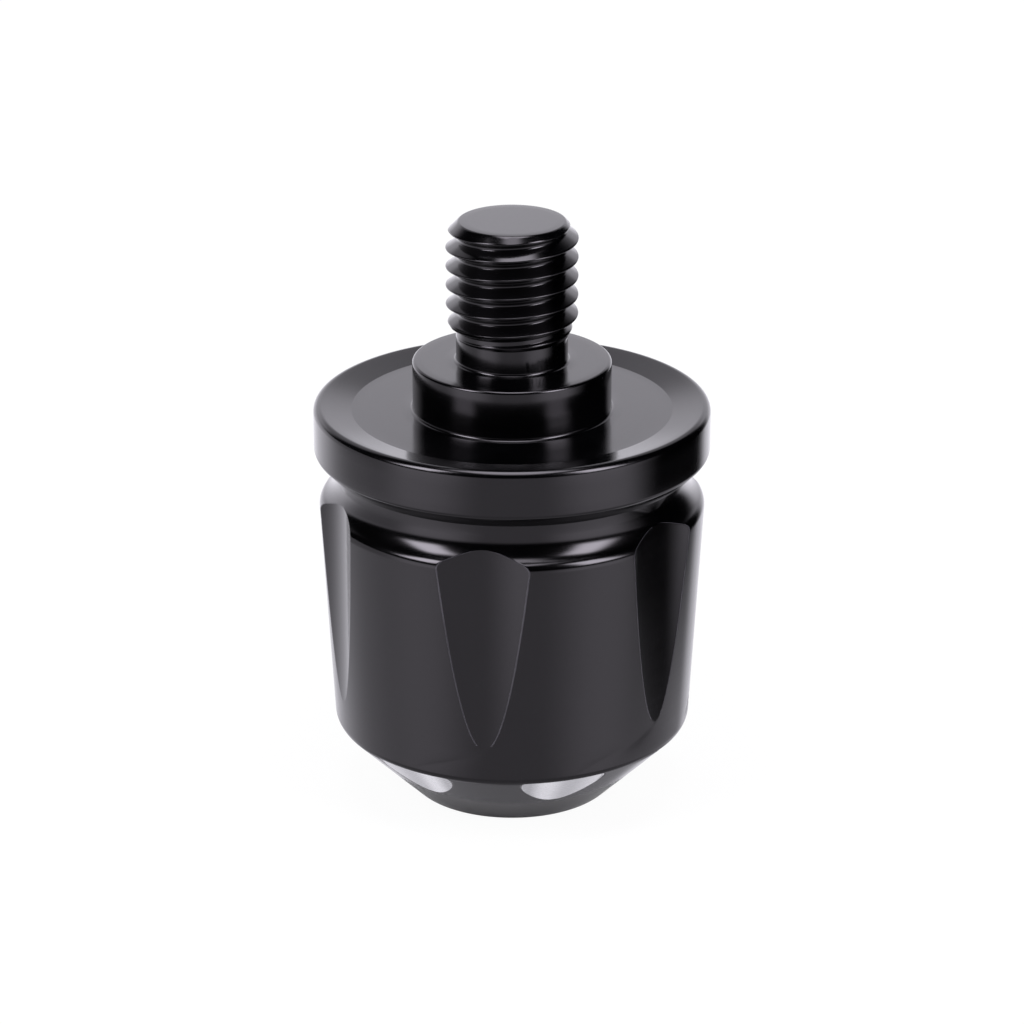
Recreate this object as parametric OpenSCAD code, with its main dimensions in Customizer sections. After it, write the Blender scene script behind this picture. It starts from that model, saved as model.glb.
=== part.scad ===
// Handlebar end weight: a turned solid with a threaded stud, a pilot collar and a flange,
// six shallow flutes milled into its tapered wall and flats milled round its coned nose.
// It stands on its flat nose end with the stud pointing up.

/* [Nose] */
// Diameter of the flat nose end
nose_d = 19; // [14:0.5:22]
// Slope of the nose cone, measured from the axis
cone_angle = 45; // [35:1:50]
// Rounding of the nose end's edge
nose_round = 0.25; // [0.1:0.05:0.6]
// Rounding where the cone turns into the wall
rim_round = 1.1; // [0.4:0.1:2]

/* [Body] */
// Height of the body, from the nose end to the flange's underside
body_h = 32; // [26:0.5:60]
// Largest diameter of the body, just below the shoulder
body_d = 35.2; // [33:0.1:36]
// Draft of the wall, which narrows towards the nose
wall_draft = 3.1; // [1:0.1:5]
// Rounding of the shoulder's edge
shoulder_round = 1; // [0.4:0.1:1.5]
// Radius of the cove between the shoulder and the neck
cove_r = 2.7; // [2:0.1:4]
// Depth of the neck under the flange, below the body's largest radius
neck_depth = 1.55; // [1.2:0.05:2.2]
// Straight length of the neck
neck_h = 1.2; // [0.8:0.1:2.5]

/* [Flange] */
// Diameter of the flange
flange_d = 36; // [35:0.5:42]
// Thickness of the flange at its flat seat
flange_t = 4.9; // [3.5:0.1:8]
// Bevel round the flange's underside
flange_bevel = 1.2; // [0.5:0.1:1.5]
// Rounding between the bevel and the flange's wall
bevel_round = 0.6; // [0.2:0.1:1.5]
// Diameter of the flat seat inside the raised lip
seat_d = 29.1; // [24:0.1:31]
// Slope of the lip, which rises outwards from the seat
lip_slope = 10.7; // [4:0.1:15]
// Rounding of the lip's outer edge
lip_round = 0.65; // [0.2:0.05:1]

/* [Collar] */
// Diameter of the collar that centres the weight in the bar
collar_d = 18; // [15:0.1:22]
// Height of the collar above the seat
collar_h = 4.6; // [3:0.1:12]
// Rounding of the collar's top edge
collar_round = 0.3; // [0.1:0.05:0.8]
// Fillet in the inner corners under the flange, round the collar and round the stud
corner_fillet = 0.3; // [0.1:0.05:0.5]

/* [Stud] */
// Height of the stud above the collar
stud_h = 13; // [11:0.5:40]
// Diameter over the thread's crests
thread_d = 11.9; // [11:0.1:12.5]
// Thread pitch
thread_pitch = 1.75; // [1:0.25:2]
// Width of the flat on the thread's crests
crest_w = 0.22; // [0.15:0.01:0.3]
// Clearance between the thread's root and the relief below it
relief_clearance = 0.05; // [0.02:0.01:0.15]
// Straight height of the relief between the collar and the thread
relief_h = 2.4; // [2:0.1:4]
// Slope of the run-out from the relief to the crests, measured from the axis
runout_angle = 30; // [20:1:45]
// Bevel at the stud's free end
lead_bevel = 1.15; // [0.6:0.05:1.6]

/* [Flutes] */
// Number of flutes round the body
flutes = 6; // [3:1:8]
// Radius of the flute's hollow
flute_r = 12.4; // [6:0.1:14]
// Depth of a flute below the largest diameter, at the shoulder
flute_depth = 1.2; // [0.6:0.05:1.4]
// Height of the plain wall between the rim and the flutes' lower ends
flute_land = 3.32; // [2:0.02:12]

/* [Nose flats] */
// Number of flats round the nose cone
flats = 7; // [4:1:8]
// Width of a flat
flat_w = 8; // [4:0.1:9]
// Distance from the rim down to the ledge at a flat's upper end
ledge_drop = 0.1; // [0.05:0.05:0.6]
// Height of a flat
flat_h = 3.5; // [2:0.1:4]
// Slope of a flat, measured from the axis
flat_angle = 39; // [33:0.5:42]

/* [Hidden] */

$fn = 96;
// Segments in each rounded corner, and in each turn of the thread
arc_steps = 6;
turn_steps = 36;
// Largest share of an outline's side that one rounded corner may take
corner_share = 0.48;
// Angle of a flute's centre
front = -90;
// Flank angle of the thread, and the width of its groove's floor as a share of the pitch
flank = 30;
floor_share = 5 / 16;

nose_r = nose_d / 2;
body_r = body_d / 2;
neck_r = body_r - neck_depth;
flange_r = flange_d / 2;
seat_r = seat_d / 2;
collar_r = collar_d / 2;
thread_r = thread_d / 2;

// Heights of the steps, from the nose end up
seat_z = body_h + flange_t;
lip_z = seat_z + (flange_r - seat_r) * tan(lip_slope);
collar_z = seat_z + collar_h;
top_z = collar_z + stud_h;

// The cove's centre, and the centre of the shoulder's rounding, which touches cove and wall
cove = [neck_r + cove_r, body_h - neck_h];
shoulder_x = body_r - shoulder_round;
shoulder = [
    shoulder_x,
    cove.y - sqrt((cove_r + shoulder_round) ^ 2 - (cove.x - shoulder_x) ^ 2)
];
shoulder_turn = atan2(cove.y - shoulder.y, cove.x - shoulder.x);

// The wall runs down from the shoulder and meets the cone at the rim
wall_top = shoulder + shoulder_round * [cos(wall_draft), -sin(wall_draft)];
rim_z = (wall_top.x - wall_top.y * tan(wall_draft) - nose_r) / (tan(cone_angle) - tan(wall_draft));
rim = [nose_r + rim_z * tan(cone_angle), rim_z];
flute_end = rim_z + flute_land;
ledge_z = rim_z - ledge_drop;

// Thread: the groove's flanks rise from its floor to the flat on the crests
root_w = floor_share * thread_pitch;
thread_depth = (thread_pitch - crest_w - root_w) / (2 * tan(flank));
root_r = thread_r - thread_depth;
relief_r = root_r - relief_clearance;
relief_z = collar_z + relief_h;
runout_z = relief_z + (thread_r - relief_r) / tan(runout_angle);

// The groove's cutter reaches past the crests, where it still leaves half of the crest flat
groove_reach = thread_depth + crest_w / 4 / tan(flank);
groove_w = root_w + 2 * groove_reach * tan(flank);
turns = (stud_h - thread_pitch + groove_w) / thread_pitch;
groove_steps = ceil(turns * turn_steps);

// Points along an arc, and along the rounding of one corner of an outline
function arc(centre, radius, from, to) = [
    for (i = [0 : arc_steps])
        let (a = from + (to - from) * i / arc_steps)
        centre + radius * [cos(a), sin(a)]
];
function unit(v) = v / norm(v);
function corner(before, at, after, radius) =
    let (
        back = unit(before - at),
        ahead = unit(after - at),
        half = acos(back * ahead) / 2,
        room = corner_share * min(norm(before - at), norm(after - at)),
        reach = min(radius / tan(half), room),
        size = reach * tan(half),
        centre = at + unit(back + ahead) * size / sin(half),
        spoke = at + back * reach - centre,
        side = sign(cross(at - before, after - at)),
        from = atan2(spoke.y, spoke.x)
    )
    arc(centre, size, from, from + side * (180 - 2 * half));

// Half section of the turned form, as [radius, height], from the nose end up
bevel_foot = [flange_r - flange_bevel, body_h];
bevel_top = [flange_r, body_h + flange_bevel];
section = concat(
    [[0, 0]],
    corner([0, 0], [nose_r, 0], rim, nose_round),
    corner([nose_r, 0], rim, wall_top, rim_round),
    arc(shoulder, shoulder_round, -wall_draft, shoulder_turn),
    arc(cove, cove_r, 180 + shoulder_turn, 180),
    corner(cove - [cove_r, 0], [neck_r, body_h], bevel_foot, corner_fillet),
    [bevel_foot],
    corner(bevel_foot, bevel_top, [flange_r, lip_z], bevel_round),
    corner(bevel_top, [flange_r, lip_z], [seat_r, seat_z], lip_round),
    [[seat_r, seat_z]],
    corner([seat_r, seat_z], [collar_r, seat_z], [collar_r, collar_z], corner_fillet),
    corner([collar_r, seat_z], [collar_r, collar_z], [relief_r, collar_z], collar_round),
    corner([collar_r, collar_z], [relief_r, collar_z], [relief_r, relief_z], corner_fillet),
    [
        [relief_r, relief_z],
        [thread_r, runout_z],
        [thread_r, top_z - lead_bevel],
        [thread_r - lead_bevel, top_z],
        [0, top_z]
    ]
);

module turned_form() {
    rotate_extrude() polygon(section);
}

// One right-hand groove with sloping flanks, from the relief to above the stud's end
module thread_groove() {
    first_z = collar_z + thread_pitch;
    rings = [
        for (i = [0 : groove_steps], p = [[0, -1], [groove_reach, -1], [groove_reach, 1], [0, 1]])
            let (
                turn = 360 * i / turn_steps,
                r = root_r + p.x,
                rise = p.y * (root_w / 2 + p.x * tan(flank))
            )
            [r * cos(turn), r * sin(turn), first_z + thread_pitch * turn / 360 + rise]
    ];
    last = 4 * groove_steps;
    sides = [
        for (i = [0 : groove_steps - 1], k = [0 : 3])
            let (a = 4 * i + k, b = 4 * i + (k + 1) % 4)
            each [[a, a + 4, b], [b, a + 4, b + 4]]
    ];
    ends = [[0, 1, 2], [0, 2, 3], [last, last + 2, last + 1], [last, last + 3, last + 2]];
    polyhedron(points = rings, faces = concat(sides, ends));
}

// A long round cutter that leans out towards the nose, so the flute gets shallower downwards
module flute_cutter() {
    floor_r = body_r - flute_depth;
    end_r = rim.x + (flute_end - rim.y) * tan(wall_draft);
    lean = atan((end_r - floor_r) / (shoulder.y - flute_end));
    reach = cove.y + neck_h / 2;
    translate([floor_r + flute_r, 0, shoulder.y])
        rotate([0, -lean, 0])
        translate([0, 0, -reach])
        cylinder(r = flute_r, h = reach + cove.y + neck_h / 2 - shoulder.y);
}

// A wedge whose sloping side leaves a flat on the cone and whose top leaves a ledge under the rim
module flat_cutter() {
    foot_z = ledge_z - flat_h;
    foot_r = nose_r + foot_z * tan(cone_angle);
    head_r = foot_r + flat_h * tan(flat_angle);
    rotate([90, 0, 0])
        linear_extrude(height = flat_w, center = true)
        polygon([
            [foot_r, foot_z],
            [body_r, foot_z],
            [body_r, ledge_z],
            [head_r, ledge_z]
        ]);
}

module bar_end_weight() {
    difference() {
        color("dimgray") turned_form();
        color("dimgray") thread_groove();
        for (i = [0 : flutes - 1])
            color("dimgray") rotate([0, 0, front + i * 360 / flutes]) flute_cutter();
        for (i = [0 : flats - 1])
            color("silver") rotate([0, 0, front + (i + 0.5) * 360 / flats]) flat_cutter();
    }
}

bar_end_weight();
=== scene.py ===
import logging
import math
from dataclasses import dataclass, field
from enum import Enum
from typing import Any, Union

import bpy
import numpy as np
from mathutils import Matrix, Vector


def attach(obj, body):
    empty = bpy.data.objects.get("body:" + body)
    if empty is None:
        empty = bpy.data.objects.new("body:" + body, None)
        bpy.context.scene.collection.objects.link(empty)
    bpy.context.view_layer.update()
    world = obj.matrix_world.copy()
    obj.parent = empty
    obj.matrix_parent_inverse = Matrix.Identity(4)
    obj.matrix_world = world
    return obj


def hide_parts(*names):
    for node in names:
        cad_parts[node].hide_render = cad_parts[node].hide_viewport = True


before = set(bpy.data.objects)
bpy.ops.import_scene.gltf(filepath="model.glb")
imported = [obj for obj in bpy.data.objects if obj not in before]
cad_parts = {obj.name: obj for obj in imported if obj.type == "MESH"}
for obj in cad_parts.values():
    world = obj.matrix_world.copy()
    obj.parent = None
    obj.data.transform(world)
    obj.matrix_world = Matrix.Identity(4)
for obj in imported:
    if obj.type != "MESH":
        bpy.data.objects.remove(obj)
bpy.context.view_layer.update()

log = logging.getLogger("bar_end_weight")
MM = 0.001
CLOSE = 1e-6
HAIR = 0.01
WHITE = (1.0, 1.0, 1.0, 1.0)
Pair = tuple[float, float]
Colour = tuple[float, float, float]
Value = Union["Signal", float, int]


class Signal:
    """One output socket of a material, with the arithmetic of numbers.

    Args:
        paint: the material that the socket belongs to.
        socket: the output socket itself.
    """

    def __init__(self, paint: "Paint", socket: bpy.types.NodeSocket) -> None:
        """Keeps the material and the socket."""
        self.paint = paint
        self.socket = socket

    def _math(self, operation: str, *values: Value) -> "Signal":
        """Adds one Math node and returns its output."""
        return self.paint.node("ShaderNodeMath", {"operation": operation}, dict(enumerate(values)))

    def __add__(self, other: Value) -> "Signal":
        """self + other."""
        return self._math("ADD", self, other)

    def __radd__(self, other: Value) -> "Signal":
        """other + self."""
        return self._math("ADD", other, self)

    def __sub__(self, other: Value) -> "Signal":
        """self - other."""
        return self._math("SUBTRACT", self, other)

    def __rsub__(self, other: Value) -> "Signal":
        """other - self."""
        return self._math("SUBTRACT", other, self)

    def __mul__(self, other: Value) -> "Signal":
        """self * other."""
        return self._math("MULTIPLY", self, other)

    def __rmul__(self, other: Value) -> "Signal":
        """other * self."""
        return self._math("MULTIPLY", other, self)

    def least(self, other: Value) -> "Signal":
        """The smaller of self and other."""
        return self._math("MINIMUM", self, other)

    def most(self, other: Value) -> "Signal":
        """The larger of self and other."""
        return self._math("MAXIMUM", self, other)

    def root(self) -> "Signal":
        """The square root of self."""
        return self._math("SQRT", self)

    def size(self) -> "Signal":
        """self without its sign."""
        return self._math("ABSOLUTE", self)

    def angle_from(self, ahead: "Signal") -> "Signal":
        """The angle, in radians, of a direction with self aside and another part ahead."""
        return self._math("ARCTAN2", self, ahead)

    def ramp(self, low: float, high: float, start: float = 0.0, end: float = 1.0) -> "Signal":
        """Maps self smoothly from low..high to start..end.

        Args:
            low: the value that gives start.
            high: the value that gives end.
            start: result at low and below.
            end: result at high and above.

        Returns:
            The mapped value.
        """
        settings = {"interpolation_type": "SMOOTHSTEP", "clamp": True}
        values = {"Value": self, "From Min": low, "From Max": high, "To Min": start, "To Max": end}
        return self.paint.node("ShaderNodeMapRange", settings, values)


class Paint:
    """A node tree that is filled by expressions.

    Args:
        tree: the material's or the world's node tree, which is emptied.
    """

    def __init__(self, tree: bpy.types.NodeTree) -> None:
        """Empties the tree and keeps it."""
        self.tree = tree
        tree.nodes.clear()

    def node(
        self,
        kind: str,
        settings: dict[str, Any] | None = None,
        values: dict[Any, Any] | None = None,
        output: int | str = 0,
    ) -> Signal:
        """Makes any node.

        Args:
            kind: the node's type.
            settings: the node's own properties, set before its sockets.
            values: numbers, colours or signals for its input sockets, by name or number.
            output: the output socket wanted, by name or number.

        Returns:
            The wanted output.
        """
        made = self.tree.nodes.new(kind)
        for name, setting in (settings or {}).items():
            setattr(made, name, setting)
        for name, value in (values or {}).items():
            if isinstance(value, Signal):
                self.tree.links.new(value.socket, made.inputs[name])
            else:
                made.inputs[name].default_value = value
        return Signal(self, made.outputs[output]) if len(made.outputs) else Signal(self, None)

    def parts(self, vector: Signal) -> tuple[Signal, Signal, Signal]:
        """The x, y and z of a vector."""
        first = self.node("ShaderNodeSeparateXYZ", values={0: vector})
        outputs = first.socket.node.outputs
        return first, Signal(self, outputs[1]), Signal(self, outputs[2])

    def blend(self, share: Value, first: Colour, second: Colour) -> Signal:
        """Mixes two colours.

        Args:
            share: how much of the second colour shows.
            first: the colour at a share of 0.
            second: the colour at a share of 1.

        Returns:
            The mixed colour.
        """
        values = {0: share, 6: (*first, 1), 7: (*second, 1)}
        return self.node("ShaderNodeMix", {"data_type": "RGBA"}, values, output=2)

    def bump(self, strength: float, distance: float, height: Signal) -> Signal:
        """A normal that follows a height."""
        values = {"Strength": strength, "Distance": distance, "Height": height}
        return self.node("ShaderNodeBump", values=values)


def new_material(name: str) -> tuple[bpy.types.Material, Paint]:
    """Makes an empty material.

    Args:
        name: the material's name.

    Returns:
        The material, and the paint that fills its node tree.
    """
    material = bpy.data.materials.new(name)
    material.use_nodes = True
    return material, Paint(material.node_tree)


def new_object(name: str, data: bpy.types.ID) -> bpy.types.Object:
    """Makes an object and links it to the scene."""
    made = bpy.data.objects.new(name, data)
    bpy.context.scene.collection.objects.link(made)
    return made


class Slot(Enum):
    """The materials of the part, in the order of its material slots."""

    BLACK = 0
    # bare metal whose colour holds a painted sheen
    BARE = 1
    # black with a painted edge highlight
    EDGE = 2


@dataclass(frozen=True)
class BlackAnodised:
    """Smooth black anodised metal with faint clouds and fine turning lines. Sizes in metres."""

    name: str = "black_anodised"
    dark: Colour = (0.0002, 0.0002, 0.0003)
    cloud_pale: Colour = (0.0007, 0.0007, 0.0009)
    gloss_tint: Colour = (1.0, 0.95, 1.0)
    index: float = 1.56
    roughness: float = 0.12
    cloud_scale: float = 160.0
    cloud_detail: float = 3.0
    cloud_range: Pair = (0.35, 0.75)
    cloud_roughness: float = 0.03
    line_pitch: float = 0.00011
    line_share: float = 0.25
    line_detail: float = 2.0
    line_roughness: float = 0.03
    line_bump: float = 0.05
    line_height: float = 0.00002

    def make(self) -> bpy.types.Material:
        """Builds the material and returns it."""
        material, paint = new_material(self.name)
        place = paint.node("ShaderNodeTexCoord", output="Object")
        x, y, z = paint.parts(place)
        radius = (x * x + y * y).root()
        across = paint.node("ShaderNodeCombineXYZ", values={0: radius, 1: z, 2: 0.0})
        scale = self.line_share / self.line_pitch
        lines = paint.node(
            "ShaderNodeTexNoise",
            {"noise_dimensions": "2D"},
            {"Vector": across, "Scale": scale, "Detail": self.line_detail},
        )
        cloud = paint.node(
            "ShaderNodeTexNoise",
            values={"Vector": place, "Scale": self.cloud_scale, "Detail": self.cloud_detail},
        )
        colour = paint.blend(cloud.ramp(*self.cloud_range), self.dark, self.cloud_pale)
        roughness = self.roughness + self.cloud_roughness * cloud + self.line_roughness * lines
        shader = paint.node(
            "ShaderNodeBsdfPrincipled",
            values={
                "Base Color": colour,
                "Roughness": roughness,
                "Metallic": 0.0,
                "IOR": self.index,
                "Specular Tint": (*self.gloss_tint, 1),
                "Normal": paint.bump(self.line_bump, self.line_height, lines),
            },
        )
        paint.node("ShaderNodeOutputMaterial", values={"Surface": shader})
        return material


@dataclass(frozen=True)
class BareMetal:
    """Bare aluminium with the cutter's fine straight lines. Angles in degrees, sizes in metres.

    Across each flat the colour goes from painted shade to a painted highlight band and, past it,
    to a paler painted highlight near its edge: a reflection painted into the metal's colour.
    """

    name: str = "bare_aluminium"
    # light and shade: the painted highlight and the painted shade across each flat
    light: Colour = (0.97, 0.97, 0.97)
    shade: Colour = (0.33, 0.33, 0.34)
    flats: int = 7
    sheen_band_rise: Pair = (11.0, 21.0)
    sheen_band_fall: Pair = (21.0, 29.0)
    sheen_band_rest: float = 0.45
    edge_sheen_rise: Pair = (27.0, 40.0)
    edge_sheen_levels: Pair = (0.3, 0.85)
    roughness: float = 0.22
    streak_scale: float = 9000.0
    streak_detail: float = 3.0
    streak_sheen: float = 0.08
    streak_roughness: float = 0.12
    streak_bump: float = 0.2
    streak_height: float = 0.00003

    def make(self) -> bpy.types.Material:
        """Builds the material and returns it."""
        material, paint = new_material(self.name)
        place = paint.node("ShaderNodeTexCoord", output="Object")
        x, y, z = paint.parts(place)
        streaks = paint.node(
            "ShaderNodeTexNoise",
            {"noise_dimensions": "1D"},
            {"W": z, "Scale": self.streak_scale, "Detail": self.streak_detail},
        )
        turn = x.angle_from(0.0 - y).size() * math.degrees(1)
        local = paint.node(
            "ShaderNodeMath", {"operation": "MODULO"}, {0: turn, 1: 360 / self.flats}
        )
        # painted highlight band across each flat, then a paler painted highlight towards its edge
        band = local.ramp(*self.sheen_band_rise) * local.ramp(*self.sheen_band_fall, 1.0, self.sheen_band_rest)
        edge = local.ramp(*self.edge_sheen_rise, *self.edge_sheen_levels)
        sheen = band.most(edge) + self.streak_sheen * streaks
        shader = paint.node(
            "ShaderNodeBsdfPrincipled",
            values={
                "Base Color": paint.blend(sheen.least(1.0), self.shade, self.light),
                "Roughness": self.roughness + self.streak_roughness * streaks,
                "Metallic": 1.0,
                "Normal": paint.bump(self.streak_bump, self.streak_height, streaks),
            },
        )
        paint.node("ShaderNodeOutputMaterial", values={"Surface": shader})
        return material


@dataclass(frozen=True)
class PaleFloor:
    """A plain pale studio floor, which keeps the object's shadow."""

    name: str = "pale_floor"
    colour: Colour = (0.86, 0.86, 0.86)
    white_to_camera: float = 0.95

    def make(self) -> bpy.types.Material:
        """Builds the material and returns it."""
        material, paint = new_material(self.name)
        ray = paint.node("ShaderNodeLightPath")
        outputs = ray.socket.node.outputs
        camera = Signal(paint, outputs["Is Camera Ray"])
        through = Signal(paint, outputs["Is Transmission Ray"])
        matt = paint.node("ShaderNodeBsdfDiffuse", values={"Color": (*self.colour, 1)})
        white = paint.node("ShaderNodeEmission", values={"Color": WHITE, "Strength": 1.0})
        share = camera.most(through) * self.white_to_camera
        surface = paint.node("ShaderNodeMixShader", values={0: share, 1: matt, 2: white})
        paint.node("ShaderNodeOutputMaterial", values={"Surface": surface})
        return material


@dataclass
class Outline:
    """The turned outline as (radius, height) points in millimetres, from the nose end up."""

    points: list[Pair] = field(default_factory=list)

    def add(self, *points: Pair) -> None:
        """Adds plain points."""
        self.points.extend(points)

    def arc(self, centre: Pair, radius: float, start: float, end: float, steps: int) -> None:
        """Adds an arc.

        Args:
            centre: the arc's centre.
            radius: its radius.
            start: angle of its first point, in degrees.
            end: angle of its last point.
            steps: number of steps along it.
        """
        for a in np.radians(np.linspace(start, end, steps + 1)):
            self.points.append((centre[0] + radius * math.cos(a), centre[1] + radius * math.sin(a)))

    def corner(self, before: Pair, at: Pair, after: Pair, radius: float, steps: int) -> None:
        """Adds a rounded corner.

        Args:
            before: a point on the line that comes in.
            at: the sharp corner.
            after: a point on the line that goes out.
            radius: the corner's rounding.
            steps: number of steps along it.
        """
        here = np.array(at)
        back = np.array(before) - here
        ahead = np.array(after) - here
        back = back / np.linalg.norm(back)
        ahead = ahead / np.linalg.norm(ahead)
        half = math.acos(float(back @ ahead)) / 2
        reach = radius / math.tan(half)
        middle = back + ahead
        centre = here + middle / np.linalg.norm(middle) * radius / math.sin(half)
        spoke = here + back * reach - centre
        start = math.degrees(math.atan2(spoke[1], spoke[0]))
        turn = -(back[0] * ahead[1] - back[1] * ahead[0])
        sweep = math.copysign(180 - 2 * math.degrees(half), turn)
        self.arc((float(centre[0]), float(centre[1])), radius, start, start + sweep, steps)


@dataclass(frozen=True)
class Steps:
    """How many steps each rounding of the turned outline has."""

    nose: int = 5
    rim: int = 12
    shoulder: int = 14
    cove: int = 22
    fillet: int = 6
    edge: int = 3
    bevel: int = 8
    lip: int = 14
    collar: int = 8


@dataclass(frozen=True)
class ExtraRings:
    """Rings that the body's mesh has beyond its outline's own points. Sizes in millimetres.

    Rings on flat faces are given by radius, and rings on the cone and the land below the flutes
    by height. The others count from the feature that they lie on.
    """

    nose_end: tuple[float, ...] = (0.0, 3.0, 6.5, 8.8)
    cone: tuple[float, ...] = (1.2, 2.2, 3.0)
    flat_tip: float = 0.02
    flat_tip_count: int = 11
    flat_face: Pair = (1.2, 0.5)
    flat_face_count: int = 6
    ledge: float = 0.03
    land: tuple[float, ...] = (7.9, 8.6, 9.3, 9.9)
    flute_tip: float = 3.0
    flute_tip_count: int = 9
    flute_face: Pair = (3.7, 0.4)
    flute_face_count: int = 18
    least_gap: float = 0.02
    flange_wall: Pair = (2.2, 1.6)
    lip: float = 16.6
    seat: tuple[float, ...] = (13.6, 12.0, 10.2)
    collar_wall: float = 1.2
    collar_top: tuple[float, ...] = (7.8, 6.2)


@dataclass
class TurnedBody:
    """Nose, fluted wall, shoulder, neck, flange and collar.

    Sizes are in millimetres and angles in degrees. Every ring has the same number of columns.
    Its flutes and flats each have columns of their own, and the shifts line them up. Columns keep
    edge_clear edge breaks away from a flute's edge, and no cut is narrower than least_half of them.
    """

    nose_r: float = 9.5
    cone_angle: float = 45.0
    rim_round: float = 1.1
    nose_round: float = 0.25
    body_r: float = 17.6
    body_h: float = 32.0
    wall_draft: float = 3.1
    shoulder_round: float = 1.0
    cove_r: float = 2.7
    neck_depth: float = 1.55
    neck_h: float = 1.2
    flange_r: float = 18.0
    flange_t: float = 4.9
    flange_bevel: float = 1.2
    bevel_round: float = 0.6
    seat_r: float = 14.55
    lip_slope: float = 10.7
    lip_round: float = 0.65
    collar_r: float = 9.0
    collar_h: float = 4.6
    collar_round: float = 0.3
    corner_fillet: float = 0.3
    relief_r: float = 5.0487
    flutes: int = 6
    flute_r: float = 12.4
    flute_depth: float = 1.2
    flute_land: float = 3.32
    flats: int = 7
    flat_half: float = 4.0
    ledge_drop: float = 0.1
    flat_h: float = 3.5
    flat_round: float = 0.4
    flat_blend: float = 10.0
    flat_angle: float = 39.0
    edge: float = 0.07
    columns: int = 336
    hollow_columns: int = 15
    face_columns: int = 15
    edge_clear: float = 3.0
    least_half: float = 5.0
    least_wide: float = 0.1
    flute_shift: int = 21
    flat_shift: int = 4
    first_angle: float = -30.0
    neck_blend: Pair = (0.2, 0.35)
    steps: Steps = Steps()
    extra: ExtraRings = ExtraRings()

    def __post_init__(self) -> None:
        """Works out the heights and centres that follow from the sizes."""
        draft = math.tan(math.radians(self.wall_draft))
        cone = math.tan(math.radians(self.cone_angle))
        lip = math.tan(math.radians(self.lip_slope))
        self.neck_r = self.body_r - self.neck_depth
        self.cove = (self.neck_r + self.cove_r, self.body_h - self.neck_h)
        x = self.body_r - self.shoulder_round
        reach = self.cove_r + self.shoulder_round
        self.shoulder = (x, self.cove[1] - math.sqrt(reach**2 - (self.cove[0] - x) ** 2))
        self.wall_top = (
            x + self.shoulder_round * math.cos(math.radians(self.wall_draft)),
            self.shoulder[1] - self.shoulder_round * math.sin(math.radians(self.wall_draft)),
        )
        rim_z = (self.wall_top[0] - self.wall_top[1] * draft - self.nose_r) / (cone - draft)
        self.rim = (self.nose_r + rim_z * cone, rim_z)
        self.seat_z = self.body_h + self.flange_t
        self.lip_z = self.seat_z + (self.flange_r - self.seat_r) * lip
        self.lip_ring = (self.extra.lip, self.seat_z + (self.extra.lip - self.seat_r) * lip)
        self.collar_z = self.seat_z + self.collar_h
        self.flute_end = rim_z + self.flute_land
        self.flat_top = rim_z - self.ledge_drop
        self.flat_start = self.flat_top - self.flat_h
        self.flat_foot = self.nose_r + self.flat_start * cone
        self.floor_top = self.body_r - self.flute_depth
        end_r = self.rim[0] + (self.flute_end - rim_z) * draft
        self.lean = (end_r - self.floor_top) / (self.shoulder[1] - self.flute_end)

    def outline(self) -> list[Pair]:
        """The whole turned outline, from the nose's middle to the foot of the stud."""
        turn = math.degrees(
            math.atan2(self.cove[1] - self.shoulder[1], self.cove[0] - self.shoulder[0])
        )
        steps, extra, tiny = self.steps, self.extra, self.edge
        nose, rim, top = (self.nose_r, 0.0), self.rim, self.wall_top
        neck, neck_top = (self.neck_r, self.cove[1]), (self.neck_r, self.body_h)
        foot = (self.flange_r - self.flange_bevel, self.body_h)
        bevel = (self.flange_r, self.body_h + self.flange_bevel)
        lip, seat = (self.flange_r, self.lip_z), (self.seat_r, self.seat_z)
        low, high = (self.collar_r, self.seat_z), (self.collar_r, self.collar_z)
        base, above = (self.relief_r, self.collar_z), (self.relief_r, self.collar_z + 2)
        line = Outline()
        line.add(*((r, 0.0) for r in extra.nose_end))
        line.corner((0, 0), nose, rim, self.nose_round, steps.nose)
        line.corner(nose, rim, top, self.rim_round, steps.rim)
        line.arc(self.shoulder, self.shoulder_round, -self.wall_draft, turn, steps.shoulder)
        line.arc(self.cove, self.cove_r, 180 + turn, 180, steps.cove)
        line.corner(neck, neck_top, foot, self.corner_fillet, steps.fillet)
        line.corner(neck_top, foot, bevel, tiny, steps.edge)
        line.corner(foot, bevel, lip, self.bevel_round, steps.bevel)
        line.add((self.flange_r, self.body_h + extra.flange_wall[0]))
        line.add((self.flange_r, self.lip_z - extra.flange_wall[1]))
        line.corner(bevel, lip, seat, self.lip_round, steps.lip)
        line.add(self.lip_ring)
        line.corner(lip, seat, low, tiny, steps.edge)
        line.add(*((r, self.seat_z) for r in extra.seat))
        line.corner(seat, low, high, self.corner_fillet, steps.collar)
        line.add((self.collar_r, self.seat_z + extra.collar_wall))
        line.add((self.collar_r, self.collar_z - extra.collar_wall))
        line.corner(low, high, base, self.collar_round, steps.collar)
        line.add(*((r, self.collar_z) for r in extra.collar_top))
        line.corner(high, base, above, self.corner_fillet, steps.fillet)
        return line.points

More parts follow.
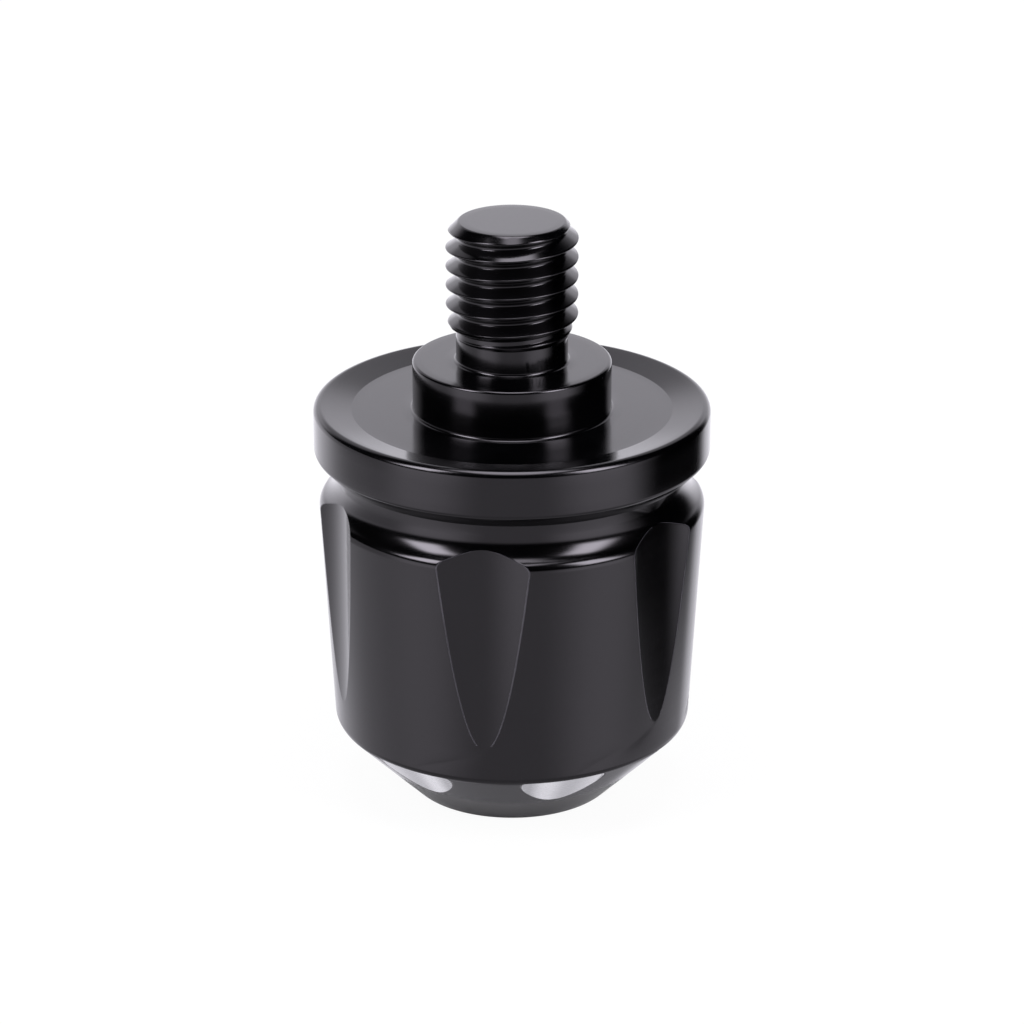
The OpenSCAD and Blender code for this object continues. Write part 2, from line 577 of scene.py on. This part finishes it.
    def levels(self) -> list[Pair]:
        """The outline with the extra rings that the flutes and flats need."""
        extra, wall_end = self.extra, self.shoulder[1]
        points = self.outline()
        first = next(i for i, p in enumerate(points) if p[1] > HAIR)
        last = next(i for i, p in enumerate(points) if p[1] > self.cove[1] - CLOSE)
        lower, middle, upper = points[:first], points[first : last + 1], points[last + 1 :]
        known, radii = [p[1] for p in middle], [p[0] for p in middle]
        tip = self.flat_start + extra.flat_tip
        closer = np.linspace(0, 1, extra.flat_tip_count) ** 2
        more = list(extra.cone)
        more += list(tip + (self.flat_top - self.edge - tip) * closer)
        start, end = tip + extra.flat_face[0], self.flat_top - extra.flat_face[1]
        more += list(np.linspace(start, end, extra.flat_face_count))
        more += [self.flat_top - extra.ledge, self.flat_top]
        more += list(extra.land)
        closer = np.linspace(0, 1, extra.flute_tip_count) ** 2
        more += list(self.flute_end + extra.flute_tip * closer)
        start, end = self.flute_end + extra.flute_face[0], wall_end - extra.flute_face[1]
        more += list(np.linspace(start, end, extra.flute_face_count))
        heights = sorted(set(round(z, 4) for z in known + more))
        kept = [heights[0]]
        exact = {round(self.flat_top, 4), round(self.flat_top - extra.ledge, 4)}
        for z in heights[1:]:
            if z - kept[-1] > extra.least_gap or z in exact:
                kept.append(z)
        return lower + [(float(np.interp(z, known, radii)), z) for z in kept] + upper

    def flute_floor(self, z: float) -> float:
        """Distance from the axis to the bottom of a flute at a height."""
        return self.floor_top + (self.shoulder[1] - z) * self.lean

    def flute_half(self, r: float, z: float) -> float:
        """Half the angle that a flute takes at a radius and height, in radians."""
        centre = self.flute_floor(z) + self.flute_r
        cosine = (r**2 + centre**2 - self.flute_r**2) / (2 * r * centre)
        return math.acos(cosine) if cosine < 1 else 0.0

    def fluted_ring(self, r: float, z: float, cut: bool) -> np.ndarray:
        """One ring of points in the fluted part of the wall.

        Args:
            r: the turned radius.
            z: the height.
            cut: whether the flutes reach this height.

        Returns:
            The x and y of each column.
        """
        per = self.columns // self.flutes
        sector = 2 * math.pi / self.flutes
        step = self.edge / self.body_r
        half = max(self.flute_half(r, z) if cut else 0.0, self.least_half * step)
        clear = self.edge_clear * step
        right = [half - step, half, half + step]
        left = [sector - half - step, sector - half, sector - half + step]
        between = per - self.hollow_columns - len(right) - len(left)
        inner = np.linspace(-(half - clear), half - clear, self.hollow_columns)
        outer = np.linspace(half + clear, sector - half - clear, between)
        angles = np.concatenate([inner, right, outer, left])
        centre = self.flute_floor(z) + self.flute_r
        near = np.minimum(np.abs(angles), np.abs(sector - angles))
        radii = np.full(len(angles), r)
        if cut:
            hollow = near < half
            flute = centre * np.cos(near) - np.sqrt(
                np.maximum(self.flute_r**2 - (centre * np.sin(near)) ** 2, 0)
            )
            radii = np.where(hollow, np.minimum(flute, r), r)
            for i in (self.hollow_columns + 1, len(angles) - 2):
                radii[i] = 0.5 * r + 0.25 * (radii[i - 1] + radii[i + 1])
        ring = []
        for k in range(self.flutes):
            turned = angles + k * sector
            ring.append(np.stack([radii * np.sin(turned), -radii * np.cos(turned)], axis=1))
        return np.roll(np.concatenate(ring), self.flute_shift, axis=0)

    def face_half(self, r: float, z: float, face: float, cut: bool) -> float:
        """Half the width of a flat at a height, with its upper corners rounded.

        Args:
            r: the turned radius.
            z: the height.
            face: the flat's distance from the axis.
            cut: whether the flats reach this height.

        Returns:
            The half width.
        """
        wide = math.sqrt(max(r * r - face * face, 0.0)) if cut else 0.0
        round_in = max(z - (self.flat_top - self.flat_round), 0.0)
        limit = self.flat_half - self.flat_round
        limit += math.sqrt(max(self.flat_round**2 - round_in**2, 0.0))
        power = self.flat_blend
        if wide > self.least_wide:
            limit = (wide**-power + limit**-power) ** (-1 / power)
        return max(min(wide, limit), self.least_half * self.edge)

    def flatted_ring(self, r: float, z: float, cut: bool) -> np.ndarray:
        """One ring of points round the coned nose.

        Args:
            r: the turned radius.
            z: the height.
            cut: whether the flats reach this height.

        Returns:
            The x and y of each column.
        """
        per = self.columns // self.flats
        sector = 2 * math.pi / self.flats
        beside = self.edge / 2
        face = self.flat_foot + (z - self.flat_start) * math.tan(math.radians(self.flat_angle))
        half = self.face_half(r, z, face, cut)
        inner = half - 2 * self.edge
        across = np.concatenate(
            [
                [-(half - beside)],
                np.linspace(-inner, inner, self.face_columns),
                [half - beside],
            ]
        )
        depth = np.sqrt(r * r - across**2)
        if cut:
            depth = np.minimum(depth, face)
        chord = np.stack([depth, across], axis=1)
        circle_at = math.asin((half + beside) / r)
        rest = np.linspace(circle_at, sector - circle_at, per - len(chord) - 2)
        arc = np.stack([r * np.cos(rest), r * np.sin(rest)], axis=1)
        turn = np.array(
            [[math.cos(sector), math.sin(sector)], [-math.sin(sector), math.cos(sector)]]
        )
        leaving = (chord[-1] + arc[0]) / 2
        closing = (arc[-1] + chord[0] @ turn) / 2
        one = np.concatenate([chord, leaving[None], arc, closing[None]])
        ring = []
        for k in range(self.flats):
            a = (k - 0.5) * sector
            spin = np.array([[math.sin(a), -math.cos(a)], [math.cos(a), math.sin(a)]])
            ring.append(one @ spin)
        return np.roll(np.concatenate(ring), self.flat_shift, axis=0)

    def plain_ring(self, r: float) -> np.ndarray:
        """One even ring of points."""
        a = np.radians(self.first_angle + 360 * np.arange(self.columns) / self.columns)
        return np.stack([r * np.sin(a), -r * np.cos(a)], axis=1)

    @staticmethod
    def _slide(first: np.ndarray, second: np.ndarray, share: float, r: float) -> np.ndarray:
        """Moves columns round a plain ring from one layout towards another."""
        a = np.unwrap(np.arctan2(first[:, 0], -first[:, 1]))
        b = np.unwrap(np.arctan2(second[:, 0], -second[:, 1]))
        b += 2 * math.pi * round(float(np.mean(a - b)) / (2 * math.pi))
        smooth = share * share * (3 - 2 * share)
        angle = a + (b - a) * smooth
        return np.stack([r * np.sin(angle), -r * np.cos(angle)], axis=1)

    def ring_at(self, r: float, z: float, cut_flat: bool) -> np.ndarray:
        """The columns of one ring, in the layout of the part of the body that it lies on.

        Args:
            r: the turned radius.
            z: the height.
            cut_flat: whether the flats reach this height.

        Returns:
            The x and y of each column.
        """
        neck = self.cove[1] - self.neck_blend[0]
        neck_end = self.body_h - self.neck_blend[1]
        if r < CLOSE:
            return np.zeros((1, 2))
        if z <= self.flat_top + CLOSE:
            return self.flatted_ring(r, z, cut_flat)
        if z < self.flute_end:
            share = (z - self.flat_top) / (self.flute_end - self.flat_top)
            below, above = self.flatted_ring(r, z, False), self.fluted_ring(r, z, False)
            return self._slide(below, above, share, r)
        if z < neck:
            return self.fluted_ring(r, z, True)
        if z < self.body_h:
            share = min((z - neck) / (neck_end - neck), 1.0)
            return self._slide(self.fluted_ring(r, z, False), self.plain_ring(r), share, r)
        return self.plain_ring(r)

    def rings(self) -> tuple[list[np.ndarray], list[bool]]:
        """All rings as x, y, z, and for each one whether the flats cut it."""
        rings, flatted = [], []
        for r, z in self.levels():
            cut_flat = self.flat_start < z < self.flat_top - HAIR
            xy = self.ring_at(r, z, cut_flat)
            rings.append(np.column_stack([xy, np.full(len(xy), z)]))
            flatted.append(cut_flat)
        return rings, flatted


@dataclass
class ThreadedStud:
    """Relief, run-out, right-hand thread and bevelled end.

    Sizes are in millimetres and angles in degrees. The end's rings are given from its rim: first
    as shares of its rounding, outwards and down, then as shares of the rim's radius.
    """

    base_z: float = 41.5
    height: float = 13.0
    thread_r: float = 5.95
    pitch: float = 1.75
    flank_slope: float = 60.0
    root_round: float = 0.25
    root_r: float = 4.875
    crest_round: float = 0.1
    round_rows: int = 5
    flank_rows: tuple[float, ...] = (0.05, 0.2, 0.35, 0.5, 0.65, 0.8, 0.95)
    relief_r: float = 5.0487
    relief_h: float = 2.4
    runout_angle: float = 30.0
    lead_bevel: float = 1.15
    end_round: float = 0.09
    rim_rings: tuple[Pair, ...] = ((0.3, 0.45), (-0.52, 0.11), (-1.4, 0.0))
    face_rings: Pair = (0.8, 0.45)
    columns: int = 84
    first_z: float = 41.95
    seam_angle: float = 150.0
    overrun: float = 0.1

    def profile(self) -> list[Pair]:
        """One pitch of the thread as (height from the groove's middle, radius)."""
        top, low, tip = self.thread_r, self.root_r, self.crest_round
        half = []
        for a in np.radians(np.linspace(0, self.flank_slope, self.round_rows)):
            half.append((self.root_round * math.sin(a), low + self.root_round * (1 - math.cos(a))))
        crest = [
            (self.pitch / 2 - tip * math.sin(a), top - tip * (1 - math.cos(a)))
            for a in np.radians(np.linspace(self.flank_slope, 0, self.round_rows))
        ]
        foot, head = np.array(half[-1]), np.array(crest[0])
        half += [tuple(foot + (head - foot) * t) for t in self.flank_rows]
        half += crest
        other = [(self.pitch - h, r) for h, r in reversed(half[1:-1])]
        return half + other

    def envelope(self, z: float) -> float:
        """The turned radius of the stud at a height."""
        relief_top = self.base_z + self.relief_h
        runout = (self.thread_r - self.relief_r) / math.tan(math.radians(self.runout_angle))
        end = self.base_z + self.height
        heights = [0, relief_top, relief_top + runout, end - self.lead_bevel, end]
        rim = self.thread_r - self.lead_bevel
        radii = [self.relief_r, self.relief_r, self.thread_r, self.thread_r, rim]
        return float(np.interp(z, heights, radii))

    def fade(self, z: float) -> float:
        """The least radius at a height: the groove deepens from the relief upwards."""
        start = self.base_z + self.relief_h
        return float(np.interp(z, [start, start + self.pitch], [self.relief_r, self.root_r]))

    def end_rings(self) -> list[Pair]:
        """Radius and height of the rings that close the stud's end, from the rim inwards."""
        end = self.base_z + self.height
        rim = self.thread_r - self.lead_bevel
        e = self.end_round
        rings = [(rim + out * e, end - down * e) for out, down in self.rim_rings]
        return rings + [(share * rim, end) for share in self.face_rings]

    def turns(self) -> list[float]:
        """The angle of each column where the rows start, in radians."""
        return [math.radians(self.seam_angle + 360 * j / self.columns) for j in range(self.columns)]

    def grid(self) -> tuple[np.ndarray, int]:
        """Rows of points that climb with the thread.

        Returns:
            The points by row and column, and the number of rows in one pitch.
        """
        profile = self.profile()
        end = self.base_z + self.height
        groove = self.base_z + self.pitch + self.pitch * (self.seam_angle - 90) / 360
        start = math.floor((self.first_z - groove) / self.pitch) * self.pitch + groove
        rows = []
        turn = 0
        while start + (turn - 1) * self.pitch < end + self.overrun:
            for h, r in profile:
                z_0 = start + turn * self.pitch + h
                row = []
                for j, a in enumerate(self.turns()):
                    z = z_0 + self.pitch * j / self.columns
                    flat = min(z, end - self.end_round)
                    wide = max(min(r, self.envelope(flat)), self.fade(flat))
                    row.append((wide * math.sin(a), -wide * math.cos(a), flat))
                rows.append(row)
            turn += 1
        kept = [row for row in rows if row[0][2] > self.first_z - CLOSE]
        return np.array(kept), len(profile)


@dataclass
class EndWeight:
    """The one-piece bar end weight: the turned body with its stud, as one closed mesh.

    An edge takes a painted highlight, a paler black, where a flute is at least least_hollow deep,
    and at the foot of the flange's bevel within edge_reach times the size of an edge break.
    """

    name: str = "end_weight"
    node: str = "bar_end_weight"
    body: TurnedBody = field(default_factory=TurnedBody)
    stud: ThreadedStud = field(default_factory=ThreadedStud)
    black: BlackAnodised = field(default_factory=BlackAnodised)
    bare: BareMetal = field(default_factory=BareMetal)
    # painted highlight: a paler black on the edge breaks of the flutes and at the bevel's foot
    edge_highlight: BlackAnodised = BlackAnodised(
        name="edge_highlight", dark=(0.025, 0.024, 0.028), cloud_pale=(0.04, 0.038, 0.044)
    )
    least_hollow: float = HAIR
    least_flat: float = 0.02
    edge_reach: float = 1.2
    weld_gap: float = 1e-7

    def mesh(self) -> bpy.types.Mesh:
        """Builds the mesh of the whole piece, in metres."""
        points: list[Any] = []
        faces: list[tuple[int, ...]] = []
        slots: list[int] = []
        last_ring = self._add_body(points, faces, slots)
        self._add_stud(points, faces, slots, last_ring)
        mesh = bpy.data.meshes.new(self.name)
        mesh.from_pydata([tuple(MM * c for c in p) for p in points], [], faces)
        mesh.polygons.foreach_set("material_index", slots)
        mesh.polygons.foreach_set("use_smooth", [True] * len(faces))
        mesh.update()
        return mesh

    def _add_body(
        self, points: list[Any], faces: list[tuple[int, ...]], slots: list[int]
    ) -> int:
        """Adds the turned body.

        Args:
            points: the mesh's points so far.
            faces: its faces so far.
            slots: the finish of each face so far.

        Returns:
            Index of the first point of the body's last ring.
        """
        rings, flatted = self.body.rings()
        starts = []
        for ring in rings:
            starts.append(len(points))
            points.extend(map(tuple, ring))
        count = self.body.columns
        bare = self._bare_columns(rings, flatted)
        for i in range(len(rings) - 1):
            low, high = starts[i], starts[i + 1]
            for k in range(count):
                n = (k + 1) % count
                if len(rings[i]) == 1:
                    faces.append((low, high + n, high + k))
                    slots.append(Slot.BLACK.value)
                    continue
                faces.append((low + k, low + n, high + n, high + k))
                slot = Slot.BARE if flatted[i] and bare[k] else Slot.BLACK
                # faces on a flute's edge or at the bevel's foot take the painted edge highlight
                slots.append((Slot.EDGE if self._on_edge(rings, i, k) else slot).value)
        return starts[-1]

    def _on_edge(self, rings: list[np.ndarray], i: int, k: int) -> bool:
        """Whether a face is on an edge of a flute or at the foot of the flange's bevel.

        Args:
            rings: the body's rings.
            i: the ring below the face.
            k: the face's first column.

        Returns:
            Whether it is.
        """
        body = self.body
        pair = (rings[i], rings[i + 1])
        if pair[0][0][2] > body.body_h - body.edge and pair[1][0][2] < body.seat_z:
            foot = body.flange_r - body.flange_bevel
            radii = [math.hypot(*ring[0][:2]) for ring in pair]
            return all(abs(r - foot) < self.edge_reach * body.edge for r in radii)
        per = body.columns // body.flutes
        first = body.hollow_columns
        to_hollow = {first: -1, first + 1: -2, per - 3: 3, per - 2: 2}
        inner = to_hollow.get((k - body.flute_shift) % per)
        if inner is None or not body.flute_end < rings[i][k][2] < body.body_h:
            return False
        for ring in pair:
            radius = np.hypot(ring[:, 0], ring[:, 1])
            if radius.max() - radius[(k + inner) % len(ring)] < self.least_hollow:
                return False
        return True

    def _bare_columns(self, rings: list[np.ndarray], flatted: list[bool]) -> list[bool]:
        """Which columns lie in a flat, taken from the highest ring that the flats cut."""
        highest = max(i for i, cut in enumerate(flatted) if cut)
        ring = rings[highest]
        radius = np.hypot(ring[:, 0], ring[:, 1])
        inside = radius < radius.max() - self.least_flat
        following = np.roll(inside, -1)
        return list(inside | following)

    def _add_stud(
        self,
        points: list[Any],
        faces: list[tuple[int, ...]],
        slots: list[int],
        last_ring: int,
    ) -> None:
        """Adds the stud's rows on top of the body's last ring.

        Args:
            points: the mesh's points so far.
            faces: its faces so far.
            slots: the finish of each face so far.
            last_ring: index of the first point of the body's last ring.
        """
        grid, per = self.stud.grid()
        rows, columns = len(grid), self.stud.columns
        end = self.stud.base_z + self.stud.height
        first = len(points)
        points.extend(map(tuple, grid.reshape(-1, 3)))
        rim = [first + (rows - 1) * columns + j for j in range(columns)]

        def at(i: int, j: int) -> int:
            """Index of a point, with the last column joined one pitch up."""
            if j == columns:
                i, j = i + per, 0
            if i >= rows or grid[i, j, 2] > end - self.stud.end_round - CLOSE:
                return rim[j]
            return first + i * columns + j

        def face(*around: int) -> None:
            """Adds a face without its repeated corners."""
            kept = [c for n, c in enumerate(around) if c != around[n - 1]]
            if len(set(kept)) > 2:
                faces.append(tuple(kept))
                slots.append(Slot.BLACK.value)

        count = self.body.columns
        ratio = count // columns
        half_way = count // 2
        for j in range(columns):
            fine = [last_ring + (half_way + ratio * j + k) % count for k in range(ratio + 1)]
            if j < columns - 1:
                face(*fine, at(0, j + 1), at(0, j))
            else:
                seam = [at(i, 0) for i in range(per, -1, -1)]
                face(*fine[:-1], last_ring + half_way, *reversed(seam), at(0, j))
        for i in range(rows - 1):
            for j in range(columns):
                face(at(i, j), at(i, j + 1), at(i + 1, j + 1), at(i + 1, j))
        for r, z in self.stud.end_rings():
            inner = list(range(len(points), len(points) + columns))
            points.extend((r * math.sin(a), -r * math.cos(a), z) for a in self.stud.turns())
            for j in range(columns):
                n = (j + 1) % columns
                face(rim[j], rim[n], inner[n], inner[j])
            rim = inner
        middle = len(points)
        points.append((0.0, 0.0, end))
        for j in range(columns):
            face(rim[j], rim[(j + 1) % columns], middle)

    def build(self) -> bpy.types.Object:
        """Makes the piece, dresses it and puts it in the CAD node's place."""
        piece = new_object(self.name, self.mesh())
        for finish in (self.black, self.bare, self.edge_highlight):
            piece.data.materials.append(finish.make())
        weld = piece.modifiers.new("joined_points", "WELD")
        weld.merge_threshold = self.weld_gap
        normals = piece.modifiers.new("even_shading", "WEIGHTED_NORMAL")
        normals.mode = "FACE_AREA"
        normals.keep_sharp = False
        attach(piece, "root")
        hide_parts(self.node)
        counts = len(piece.data.vertices), len(piece.data.polygons)
        log.info("%s: %d points, %d faces", self.name, *counts)
        return piece


def direction(bearing: float, height: float) -> Vector:
    """Unit vector away from the object, at a bearing and a height in degrees."""
    b, h = math.radians(bearing), math.radians(height)
    return Vector((math.sin(b) * math.cos(h), -math.cos(b) * math.cos(h), math.sin(h)))


@dataclass(frozen=True)
class Softbox:
    """One soft lamp, seen from the object at a bearing and a height, in degrees and metres.

    It lights the surfaces and casts the floor's shadow. What the object mirrors is a Panel.
    """

    name: str
    bearing: float
    height: float
    wide: float
    tall: float
    radiance: float
    distance: float = 0.6

    def make(self, target: Vector) -> bpy.types.Object:
        """Builds the lamp, turned towards the target."""
        lamp = bpy.data.lights.new(self.name, "AREA")
        lamp.shape = "RECTANGLE"
        lamp.size = 2 * self.distance * math.tan(math.radians(self.wide / 2))
        lamp.size_y = 2 * self.distance * math.tan(math.radians(self.tall / 2))
        lamp.energy = self.radiance * math.pi * lamp.size * lamp.size_y
        holder = new_object(self.name, lamp)
        away = direction(self.bearing, self.height)
        holder.location = target + away * self.distance
        holder.rotation_euler = away.to_track_quat("Z", "Y").to_euler()
        holder.visible_camera = False
        holder.visible_glossy = False
        return holder


@dataclass(frozen=True)
class Panel:
    """One plain soft-edged panel of the surroundings, by bearing and height in degrees.

    Bearings count from the camera's. Each edge goes from its first angle to its second. A panel
    stands on both sides unless it is one_sided, where bearings to the left are below 0.
    """

    level: float
    near: Pair
    far: Pair
    low: Pair
    high: Pair
    one_sided: bool = False

    def cover(self, aside: Signal, up: Signal) -> Signal:
        """How much the panel covers a direction, from 0 to 1.

        Args:
            aside: the direction's bearing from the camera's, in degrees.
            up: its height, in degrees.

        Returns:
            The cover.
        """
        turn = aside if self.one_sided else aside.size()
        across = turn.ramp(*self.near) * turn.ramp(*self.far, 1.0, 0.0)
        return across * up.ramp(*self.low) * up.ramp(*self.high, 1.0, 0.0)


AHEAD, BEHIND = (-2.0, -1.0), (180.0, 181.0)
BELOW, HORIZON, ABOVE = (-91.0, -90.0), (1.0, 12.0), (91.0, 92.0)
ROUND_THE_BACK = ((122.0, 148.0), BEHIND)


@dataclass
class Studio:
    """Floor, surroundings, lamps and camera. Angles in degrees, the view's sizes in millimetres."""

    view_bearing: float = 8.6
    view_height: float = 22.083
    view_distance: float = 319.7
    target_z: float = 26.56
    lens: float = 122.52
    sensor: float = 36.0
    clip_start: float = 0.01
    floor_half: float = 6.0
    disc_r: float = 0.011
    disc_sides: int = 64
    floor_gap: float = 0.00001
    dark: float = 0.01
    tone: Colour = (0.945, 0.93, 1.0)
    floor: PaleFloor = field(default_factory=PaleFloor)
    low_panels: tuple[Panel, ...] = (
        Panel(0.6, AHEAD, BEHIND, BELOW, HORIZON),
        Panel(1.1, (16, 54), BEHIND, BELOW, HORIZON),
        Panel(1.5, (16, 50), BEHIND, (-26, -16), HORIZON),
        Panel(0.85, (58, 88), (102, 140), BELOW, HORIZON),
        Panel(0.62, (62, 88), (100, 134), (-25, -19), HORIZON),
    )
    back_panels: tuple[Panel, ...] = (
        Panel(1.6, *ROUND_THE_BACK, (-25, -15), (7, 17)),
        Panel(1.37, *ROUND_THE_BACK, (4, 16), (22, 32)),
        Panel(0.72, *ROUND_THE_BACK, (20, 32), (44, 54)),
    )
    foot_panels: tuple[Panel, ...] = (
        Panel(0.42, AHEAD, BEHIND, BELOW, (-43, -31)),
        Panel(0.95, (112, 130), (150, 164), (-86, -76), (-50, -40)),
    )
    dark_card: Panel = Panel(0.0, (70, 94), (136, 152), (-32, -22), (80, 85), one_sided=True)
    lamp_panels: tuple[Panel, ...] = (
        Panel(9.3, (-80, -67), (-53, -43), (23, 32), (51, 62), one_sided=True),
        Panel(8.8, (37, 49), (60, 76), (17, 27), (50, 60), one_sided=True),
        Panel(4.8, AHEAD, BEHIND, (69, 78), ABOVE),
        Panel(4.8, (148, 165), BEHIND, (60, 70), ABOVE),
        Panel(3.4, AHEAD, (14, 46), (60, 70), (78, 84)),
    )

    def target(self) -> Vector:
        """The point that the camera and the lamps look at, in metres."""
        return Vector((0, 0, self.target_z * MM))

    def panels(self) -> list[Panel]:
        """Every panel, each one painted over those before it."""
        under = [*self.low_panels, *self.back_panels, *self.foot_panels]
        return [*under, self.dark_card, *self.lamp_panels]

    def softboxes(self) -> list[Softbox]:
        """The lamps that stand round the object and over it."""
        left, right, above = (self.view_bearing + turn for turn in (-59, 55, 170))
        return [
            Softbox("softbox_left", left, height=42, wide=24, tall=31, radiance=4.5),
            Softbox("softbox_right", right, height=38, wide=24, tall=32, radiance=4.5),
            Softbox("softbox_above", above, height=86, wide=30, tall=40, radiance=1.5),
        ]

    def camera(self) -> None:
        """Sets the camera at the photograph's viewing angle."""
        view = bpy.data.cameras.new("camera")
        view.lens = self.lens
        view.sensor_width = self.sensor
        view.clip_start = self.clip_start
        holder = new_object("camera", view)
        away = direction(self.view_bearing, self.view_height)
        holder.location = self.target() + away * self.view_distance * MM
        holder.rotation_euler = away.to_track_quat("Z", "Y").to_euler()
        bpy.context.scene.camera = holder

    def ground(self) -> None:
        """Makes the floor, of which the object mirrors only the small disc under its nose."""
        finish = self.floor.make()
        h, r = self.floor_half, self.disc_r
        square = [(-h, -h, 0), (h, -h, 0), (h, h, 0), (-h, h, 0)]
        turns = np.linspace(0, 2 * math.pi, self.disc_sides, endpoint=False)
        disc = [(r * math.cos(a), r * math.sin(a), 0) for a in turns]
        for name, points, gaps in (("floor", square, 2), ("floor_disc", disc, 1)):
            mesh = bpy.data.meshes.new(name)
            mesh.from_pydata(points, [], [tuple(range(len(points)))])
            mesh.materials.append(finish)
            part = new_object(name, mesh)
            part.location.z = -gaps * self.floor_gap
            whole = name == "floor"
            part.visible_glossy = not whole
            part.visible_camera = part.visible_diffuse = part.visible_shadow = whole

    def surroundings(self) -> None:
        """Makes the world: white to the camera, and dark with soft panels to the object."""
        world = bpy.data.worlds.new("studio")
        bpy.context.scene.world = world
        world.use_nodes = True
        paint = Paint(world.node_tree)
        way = paint.node("ShaderNodeTexCoord", output="Generated")
        x, y, z = paint.parts(way)
        turn = math.radians(self.view_bearing)
        ahead = x * math.sin(turn) - y * math.cos(turn)
        right = x * math.cos(turn) + y * math.sin(turn)
        aside = right.angle_from(ahead) * math.degrees(1)
        up = z.angle_from((x * x + y * y).root()) * math.degrees(1)
        glow: Value = self.dark
        for panel in self.panels():
            glow = glow + panel.cover(aside, up) * (panel.level - glow)
        ray = paint.node("ShaderNodeLightPath", output="Is Camera Ray")
        tinted = {"Color": (*self.tone, 1), "Strength": glow}
        studio = paint.node("ShaderNodeBackground", values=tinted)
        white = paint.node("ShaderNodeBackground", values={"Color": WHITE, "Strength": 1.0})
        sky = paint.node("ShaderNodeMixShader", values={0: ray, 1: studio, 2: white})
        paint.node("ShaderNodeOutputWorld", values={"Surface": sky})

    def build(self) -> None:
        """Makes the whole studio."""
        self.camera()
        self.ground()
        self.surroundings()
        for box in self.softboxes():
            box.make(self.target())
            log.info("%s: radiance %.1f", box.name, box.radiance)
        bpy.context.scene.view_settings.view_transform = "Standard"


def main() -> None:
    """Builds the studio and the piece."""
    logging.basicConfig(level=logging.INFO, format="%(name)s %(message)s")
    Studio().build()
    EndWeight().build()
    bpy.context.view_layer.update()


if __name__ == "__main__":
    main()
